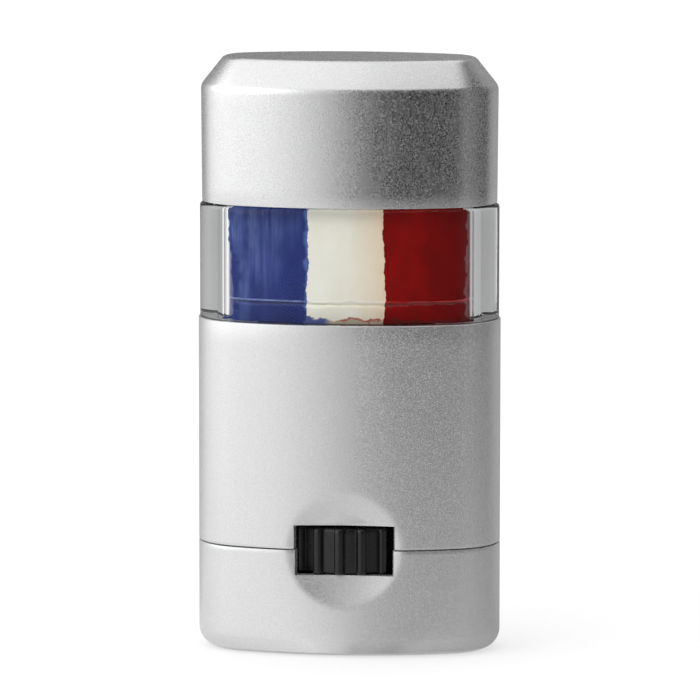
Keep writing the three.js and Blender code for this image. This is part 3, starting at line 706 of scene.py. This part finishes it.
def cap():
    """The hollow cap, from its ceiling down the inside, round the rim, and up the outside to the top."""
    outline = oval(BAND, face_steps=64, end_steps=24)
    inwards, height = BEVEL
    low_edge, high_edge = BEVEL_EDGES
    at_rim, at_shoulder = CAP_DRAFT
    slope = math.atan2(inwards, height)
    slant = math.degrees(slope)
    shoulder = TOP - height - low_edge * math.tan(slope / 2)
    top_inset = inwards + high_edge * math.tan((math.pi / 2 - slope) / 2)
    wall = np.arange(51, shoulder - 0.4, 1.5)
    steps = [
        (inwards + CAP_WALL, 63.8), (inwards + 0.95, 63.7), (1.3, 60.9), (CAP_WALL, 60.5),
        (CAP_WALL, 53.1), (1.15, 52.6), (1.2, 52.15), (1.15, 51.7), (CAP_WALL, 51.25),  # the bead
        (CAP_WALL, CAP_RIM + 0.15), (0.95, CAP_RIM),
        *round_edge(RIM_EDGE + at_rim, CAP_RIM + RIM_EDGE, RIM_EDGE, -90, 0, 3),
        *zip(np.interp(wall, (CAP_RIM, shoulder), CAP_DRAFT), wall),
        *round_edge(low_edge + at_shoulder, shoulder, low_edge, 0, slant, 8),
        *round_edge(top_inset + at_shoulder, TOP - high_edge, high_edge, slant, 90, 8),
    ]
    rings = [ring(outline, t, z) for t, z in steps]
    # The flat top and the ceiling draw in to the middle in a few rings, so that they shade evenly.
    for share in (0.6, 0.25):
        rings.append(rings[-1] * [share, share, 1])
    return loft("cap_shell", rings)


# Thumb wheel

def thumb_wheel():
    """The ribbed wheel: up the rim's outside, down its inside to the web and the hub, and back underneath."""
    per_rib = 28
    n = RIBS * per_rib
    angle = np.arange(n) * TAU / n - math.pi / 2 + RIB_ANGLE
    # How far each point stands from the middle of its rib, in mm, and the crown and the flank there
    aside = np.abs(((np.arange(n) + per_rib / 2) % per_rib) - per_rib / 2) * (TAU / n) * RIB_PITCH_RADIUS
    crown = RIB_CROWN - np.sqrt(RIB_CROWN**2 - np.minimum(aside, 0.5) ** 2)
    outline = RIB_REACH - crown - RIB_DEPTH * ease((aside - 0.42) / 0.24)
    bottom, top = WHEEL
    web_bottom, web_top = WEB
    low_edge, high_edge = 0.25, 0.42  # radii of the rim's edges
    drive = square(angle, DRIVE_HOLE)

    steps = []
    for a in np.radians(np.linspace(90, 0, 6)):
        steps.append((outline - low_edge * (1 - math.cos(a)), RIM_BOTTOM + low_edge * (1 - math.sin(a))))
    steps += [(outline, z) for z in np.arange(10.2, 13.5, 0.8)]
    for a in np.radians(np.linspace(0, 90, 7)):
        steps.append((outline - high_edge * (1 - math.cos(a)), top - high_edge * (1 - math.sin(a))))
    steps += [(RIM_INSIDE + 0.1, top), (RIM_INSIDE, top - 0.1), (RIM_INSIDE, web_top + 0.15), (5.7, web_top)]
    steps += [(HUB_RADIUS + 0.15, web_top), (HUB_RADIUS, web_top + 0.15), (HUB_RADIUS, top)]
    steps += [(drive, top), (drive, 10.7), (PIVOT_HOLE, 10.7), (PIVOT_HOLE, bottom)]
    steps += [(HUB_RADIUS, bottom), (HUB_RADIUS, web_bottom - 0.15), (HUB_RADIUS + 0.15, web_bottom)]
    steps += [(5.7, web_bottom), (RIM_INSIDE, web_bottom - 0.15), (RIM_INSIDE, RIM_BOTTOM + 0.1)]
    steps += [(RIM_INSIDE + 0.1, RIM_BOTTOM)]
    return loft("ribbed_wheel", [around(angle, radius, z) for radius, z in steps], closed=True, sharp=40)


# Lead screw and cup

def thread_radius(crest, angle, z):
    """The radius of a rounded thread at each angle, at height z."""
    wave = np.cos(TAU * z / THREAD_LEAD + angle)
    return crest - THREAD_WAVE * (1 - wave)


def lead_screw():
    """The screw: the square end in the wheel, the collar, the plain shaft, and the thread."""
    n = 64
    angle = np.arange(n) * TAU / n
    drive = square(angle, DRIVE_HALF)
    steps = [(drive * 0.93, 10.8), (drive, 10.95), (drive, 14.2)]
    steps += [(HUB_RADIUS, 14.2), (HUB_RADIUS, 14.6), (HUB_RADIUS - 0.1, 14.7)]
    steps += [(SCREW_RADIUS + 0.1, 14.7), (SCREW_RADIUS, 14.8), (SCREW_RADIUS, 31.9)]
    for z in np.arange(THREAD_START, SCREW_TOP - 0.6, 0.15):
        part = min(1.0, (z - THREAD_START) / 0.8)
        steps.append((SCREW_RADIUS - part * (SCREW_RADIUS - thread_radius(SCREW_RADIUS, angle, z)), z))
    steps += [(1.65, SCREW_TOP - 0.5), (1.65, SCREW_TOP - 0.1), (1.5, SCREW_TOP)]
    return loft("fine_screw", [around(angle, radius, z) for radius, z in steps], sharp=50)


def cup():
    """The cup: up its wall, over the rim to the plate, up the nut, down its thread, and under the plate."""
    outline = oval(CUP, end_steps=16)
    angle = directions(outline)
    rings = [ring(outline, t, z) for t, z in (
        (0.1, CUP_BOTTOM), (0, CUP_BOTTOM + 0.1), (0, CUP_RIM - 0.12), (0.04, CUP_RIM - 0.03),
        (0.12, CUP_RIM), (0.48, CUP_RIM), (0.56, CUP_RIM - 0.03), (CUP_WALL, CUP_RIM - 0.12),
        (CUP_WALL, PLATE_TOP))]
    steps = [(NUT_RADIUS, PLATE_TOP), (NUT_RADIUS, CUP_RIM - 0.1), (NUT_RADIUS - 0.1, CUP_RIM)]
    for z in (*np.arange(CUP_RIM, NUT_BOTTOM, -0.2), NUT_BOTTOM):
        steps.append((thread_radius(SCREW_RADIUS + THREAD_FIT, angle, z), z))
    steps += [(NUT_RADIUS, NUT_BOTTOM), (NUT_RADIUS, PLATE_BOTTOM)]
    rings += [around(angle, radius, z) for radius, z in steps]
    rings += [ring(outline, CUP_WALL, z) for z in (PLATE_BOTTOM, CUP_BOTTOM)]
    made = loft("clear_cup", rings, closed=True, sharp=40)
    fins = [block("fin", w, d, 1.2, x, 0, FIN_FOOT) for w, d, x in FINS]
    middle = turned("middle", [(NUT_RADIUS - 0.5, z) for z in (36, 39)])
    combine(fins[0], [middle], "DIFFERENCE")
    return combine(made, fins, "UNION", sharp=40)


# Paint: one cast block, parted along two rough lines. It is cast round the cup, down to its plate.

BORDER_WAVES = (  # size, rate and shift
    (0.11, 0.45, 1.0), (0.06, 1.35, 2.1), (0.045, 3.3, 1.4), (0.03, 7.1, 0.6), (0.025, 13.7, 2.7),
    (0.02, 23.0, 1.1))


def border(x, z, side):
    """The line between two bars at height z, at the front (-1) or the back (1)."""
    start = side * 1.7 + x
    return x + sum(size * math.sin(rate * z + shift * start) for size, rate, shift in BORDER_WAVES)


def rim_mark(xs, z):
    """How far the paint is drawn in at the mark of the cup's rim, less how far it stands out above it."""
    centre = RIM_MARK + np.clip(xs - 3.5, 0, 9) * 0.03
    centre = centre + 0.06 * np.sin(0.9 * xs + 1) + 0.04 * np.sin(2.7 * xs)
    depth = 0.16 + 0.05 * np.sin(1.7 * xs) + 0.04 * np.sin(4.3 * xs + 2)
    return depth * hump(z - centre + 0.22, 0.17) - 0.05 * hump(z - centre - 0.12, 0.12)


def clinging(points, z):
    """How far the paint stands out towards the end walls, where it still clings to them."""
    x, y = points[:, :1], points[:, 1:]
    low = hump(z - 36.5, 0.55) * (0.6 + 0.4 * np.sin(2.1 * y + 6 * z))
    crumb = hump(z - 39.25, 0.16) * hump(y + 3.6, 0.7) * (x > 0)
    return np.where(np.abs(x) > 11.6, 0.19 * low + 0.3 * crumb, 0)


def paint_bar(name, low, high):
    """The part of the block between x = low and x = high, where None is the end of the block."""
    low_mark, high_mark = 37.7, 39.5  # the rows are closer over the rim's mark
    steps = [(0.12, PAINT_FOOT), (0.02, PAINT_FOOT + 0.06)]
    steps += [(0, z) for z in np.arange(PAINT_FOOT + 0.15, low_mark, 0.15)]
    steps += [(0, z) for z in np.arange(low_mark, high_mark, 0.06)]
    steps += [(0, z) for z in np.arange(high_mark, PAINT_TOP - 1.05, 0.13)]
    steps += [(inset, PAINT_TOP - down) for inset, down in (
        (0, 1.0), (0.04, 0.86), (0.14, 0.76), (0.3, 0.7), (0.8, 0.42), (1.6, 0.14), (2.4, 0.03), (3.2, 0))]
    points, normals = oval(BORE, face_steps=80, end_steps=28)
    end = np.abs(normals[:, :1])  # 1 at the two ends of the block and 0 in the middle of its faces
    left = normals[:, :1] < 0
    rings = []
    for inset, z in steps:
        edge = np.where(left, 0.61 + 0.016 * (z - 38), 0.7 + 0.006 * (z - 38))
        edge = edge + 0.02 * math.sin(1.7 * z) + 0.013 * math.sin(5.3 * z + 1)
        free = PAINT_FIT * ease((end - edge) / 0.15)  # it has shrunk from the two ends,
        free += 0.14 * ease(normals[:, 1:] * 2)  # and come free of the back wall
        mark = rim_mark(points[:, :1], z) * (1 - 0.7 * ease((end - 0.5) / 0.3))
        outline = points + (0.02 - free - inset - mark + clinging(points, z)) * normals
        reach = np.abs(outline[:, 0]).max() - 1e-4
        flat = []
        for side in (-1, 1):  # the front runs to +X, and the back runs to -X
            row = outline[outline[:, 1] * side > 0]
            row = row[np.argsort(row[:, 0])]
            x0 = -reach if low is None else border(low, z, side)
            x1 = reach if high is None else border(high, z, side)
            u = np.linspace(0, 1, 48)
            if low is None or high is None:
                u = (1 - np.cos(u * math.pi)) / 2
            xs = x0 + (x1 - x0) * u
            flat += list(zip(xs, np.interp(xs, row[:, 0], row[:, 1])))[::-side]
        rings.append([(x, y, z) for x, y in flat])
    return loft(name, rings, sharp=50)


def cup_cuts():
    """What the cup, its fins and the screw take out of the paint."""
    gap = 0.02
    outline = oval(CUP, end_steps=16)
    steps = [
        (-gap, 30), (-gap, CUP_RIM + gap), (CUP_WALL + gap, CUP_RIM + gap), (CUP_WALL + gap, PLATE_TOP + gap)]
    rings = [ring(outline, t, z) for t, z in steps]
    rings += [circle_like(outline, NUT_RADIUS + gap, z) for z in (PLATE_TOP + gap, CUP_RIM + gap)]
    cuts = [loft("cup_cut", rings), turned("screw_cut", [(2.72, z) for z in (36, SCREW_TOP + 0.2)])]
    return cuts + [block("fin_cut", w + 0.2, d + 0.2, 1.3, x, 0, FIN_FOOT) for w, d, x in FINS]


dress(base(), CASE, "housing", "base")
dress(sleeve(), CASE, "housing", "sleeve")
dress(barrel(), CLEAR, "housing", "window_barrel")
dress(cap(), CAP, "closure", "cap")
dress(thumb_wheel(), BLACK, "dial", "thumb_wheel")
dress(lead_screw(), MILKY, "dial", "lead_screw")
dress(cup(), CLEAR_CUP, "stick", "paint_cup")
for name, low, high, material, slot in (
    ("blue_bar", None, -STRIPE, BLUE, "blue_paint"),
    ("white_bar", -STRIPE, STRIPE, WHITE, "white_paint"),
    ("red_bar", STRIPE, None, RED, "red_paint"),
):
    bar = combine(paint_bar(name, low, high), cup_cuts(), "DIFFERENCE", sharp=50)
    dress(bar, material, "stick", "paint_" + slot.split("_")[0])


# Stage, light and camera

def stage_object(name, verts, faces, material):
    """A thing of the studio, in metres. It isn't part of the object."""
    mesh = bpy.data.meshes.new(name)
    mesh.from_pydata(verts, [], faces)
    mesh.materials.append(material)
    obj = bpy.data.objects.new(name, mesh)
    bpy.context.scene.collection.objects.link(obj)
    return obj


def seen(m):
    """1 for rays from the camera, through glass and from mirrors, and 0 for those that only gather light."""
    rays = m.add("ShaderNodeLightPath")
    direct = m.math("MAXIMUM", rays.outputs["Is Camera Ray"], rays.outputs["Is Transmission Ray"])
    return m.math("MAXIMUM", direct, rays.outputs["Is Glossy Ray"])


def paper(glow):
    """Pale paper: seen directly, in a mirror or through glass it is white, and it still takes a shadow."""
    m = new_material("paper")
    fibre = m.noise(0.8, 4.0)
    color = m.mix(fibre, rgb(0.4, 0.4, 0.4), rgb(0.43, 0.43, 0.43))
    diffuse = m.add("ShaderNodeBsdfDiffuse", {"Color": color})
    light = m.add("ShaderNodeEmission", {"Color": rgb(1, 1, 1), "Strength": glow})
    glowing = m.add("ShaderNodeAddShader", {0: diffuse.outputs[0], 1: light.outputs[0]})
    mixed = m.add("ShaderNodeMixShader", {0: seen(m), 1: diffuse.outputs[0], 2: glowing.outputs[0]})
    return m.finish(mixed.outputs[0])


FLOOR_REACH = 3.0
FLOOR_CORNERS = [(x * FLOOR_REACH, y * FLOOR_REACH, 0) for x, y in ((-1, -1), (1, -1), (1, 1), (-1, 1))]
stage_object("floor", FLOOR_CORNERS, [(0, 1, 2, 3)], paper(glow=0.54))


def softbox(name, place, target, width, height, watts):
    """A rectangular lamp that faces the target."""
    lamp = bpy.data.lights.new(name, "AREA")
    lamp.shape = "RECTANGLE"
    lamp.size = width
    lamp.size_y = height
    lamp.energy = watts
    obj = bpy.data.objects.new(name, lamp)
    obj.location = place
    obj.rotation_euler = (Vector(target) - Vector(place)).to_track_quat("-Z", "Y").to_euler()
    bpy.context.scene.collection.objects.link(obj)


CENTRE = (0, 0, 0.035)
softbox("left_softbox", (-0.72, -0.34, 0.4), CENTRE, width=1.2, height=0.78, watts=3.6)
softbox("top_softbox", (-0.35, -0.15, 0.9), CENTRE, width=0.8, height=0.7, watts=0.45)


CARD_FOOT = (0.005, 0.0004)  # the radius at which the foot of a card starts, and its height
CARD_NEAR = 1.35  # how much paler than the rest of the foot it is there
CARD_STEP = 2.5  # degrees


def curved_card(name, radius, top, levels, lift, low, fade, glass):
    """A studio card bent round the object, with a foot on the floor.

    levels are (azimuth, level, share) rows: azimuth 0 is the front, and 90 is +X, and the grey changes evenly
    between them. The foot is paler by the share of lift, and the wall by low times that at its bottom and by
    nothing at the height fade. Only reflections show the card, and with glass, what passes through glass
    shows it too.
    """
    turns, greys, shares = zip(*levels)
    azimuths = np.arange(turns[0], turns[-1] + 0.1, CARD_STEP)
    grey = np.interp(azimuths, turns, greys)
    share = np.interp(azimuths, turns, shares)
    start, height = CARD_FOOT
    rows = (  # radius, height and how much paler
        (start, height, lift * CARD_NEAR), (radius * 0.7, height, lift), (radius, height, lift * low),
        (radius, fade, 0), (radius, top, 0))
    verts = [(r * math.sin(t), -r * math.cos(t), z) for t in np.radians(azimuths) for r, z, _ in rows]
    tones = [g + part * up for g, part in zip(grey, share) for _, _, up in rows]
    n = len(rows)
    faces = [(n * i + j, n * i + n + j, n * i + n + j + 1, n * i + j + 1)
             for i in range(len(azimuths) - 1) for j in range(n - 1)]
    m = new_material(name)
    level = m.add("ShaderNodeAttribute", attribute_name="grey")
    light = m.add("ShaderNodeEmission", {"Color": rgb(1, 1, 1), "Strength": level.outputs["Fac"]})
    obj = stage_object(name, verts, faces, m.finish(light.outputs[0]))
    obj.data.attributes.new("grey", "FLOAT", "POINT").data.foreach_set("value", np.array(tones, np.float32))
    obj.visible_camera = False
    obj.visible_diffuse = False
    obj.visible_shadow = False
    obj.visible_transmission = glass


FRONT_LEVELS = (
    (-26, 0.98, 0.3), (-17, 0.85, 0.3), (-9, 0.566, 0.73), (-6, 0.46, 0.88), (1.5, 0.15, 1.2), (8, 0.0, 1.2),
    (14, 0.0, 1.2), (25, 0.0, 1.1), (35, 0.0, 0.95), (48, 0.22, 0.8), (110, 0.06, 0.68))
FOOT_LEVELS = ((-101, 0.9, 0), (-51, 1.0, 0.1), (-26, 0.98, 0.3))
BACK_LEVELS = ((100, 0.16, 1), (130, 0.38, 1), (160, 0.34, 1), (190, 0.24, 1), (230, 0.33, 1), (250, 0.8, 1))
curved_card("front_card", 0.15, 0.28, FRONT_LEVELS, lift=0.37, low=0.55, fade=0.022, glass=False)
curved_card("foot_card", 0.15, 0.0006, FOOT_LEVELS, lift=0.37, low=0.55, fade=0.0005, glass=False)  # no wall
curved_card("back_card", 0.16, 0.28, BACK_LEVELS, lift=0.14, low=1.0, fade=0.06, glass=True)

# White all round. It lights the object a little more strongly than it is seen.
WORLD_LIGHT = 1.1
WORLD_SEEN = 1.0
world = Nodes(bpy.data.worlds.new("studio"))
level = world.span(seen(world), 0.0, 1.0, WORLD_LIGHT, WORLD_SEEN)
background = world.add("ShaderNodeBackground", {"Color": rgb(1, 1, 1), "Strength": level})
world.add("ShaderNodeOutputWorld", {"Surface": background.outputs[0]})
bpy.context.scene.world = world.owner

# Camera, in metres and degrees
CAMERA_DISTANCE = 0.7395
CAMERA_HEIGHT = 0.14181
CAMERA_AZIMUTH = 4.425
CAMERA_PAN = -0.004
CAMERA_PITCH = 8.39
CAMERA_ROLL = 0.042
LENS = 352.2  # mm, for a sensor of the width below
SENSOR_WIDTH = 36
camera = bpy.data.cameras.new("camera")
camera.lens = LENS
camera.sensor_width = SENSOR_WIDTH
camera.clip_start = 0.01
view = bpy.data.objects.new("camera", camera)
turn = math.radians(CAMERA_AZIMUTH)
view.matrix_world = (
    Matrix.Translation((CAMERA_DISTANCE * math.sin(turn), -CAMERA_DISTANCE * math.cos(turn), CAMERA_HEIGHT))
    @ Matrix.Rotation(turn + math.radians(CAMERA_PAN), 4, "Z")
    @ Matrix.Rotation(math.radians(90 - CAMERA_PITCH), 4, "X")
    @ Matrix.Rotation(math.radians(CAMERA_ROLL), 4, "Z")
)
bpy.context.scene.collection.objects.link(view)
bpy.context.scene.camera = view
bpy.context.scene.view_settings.view_transform = "Standard"
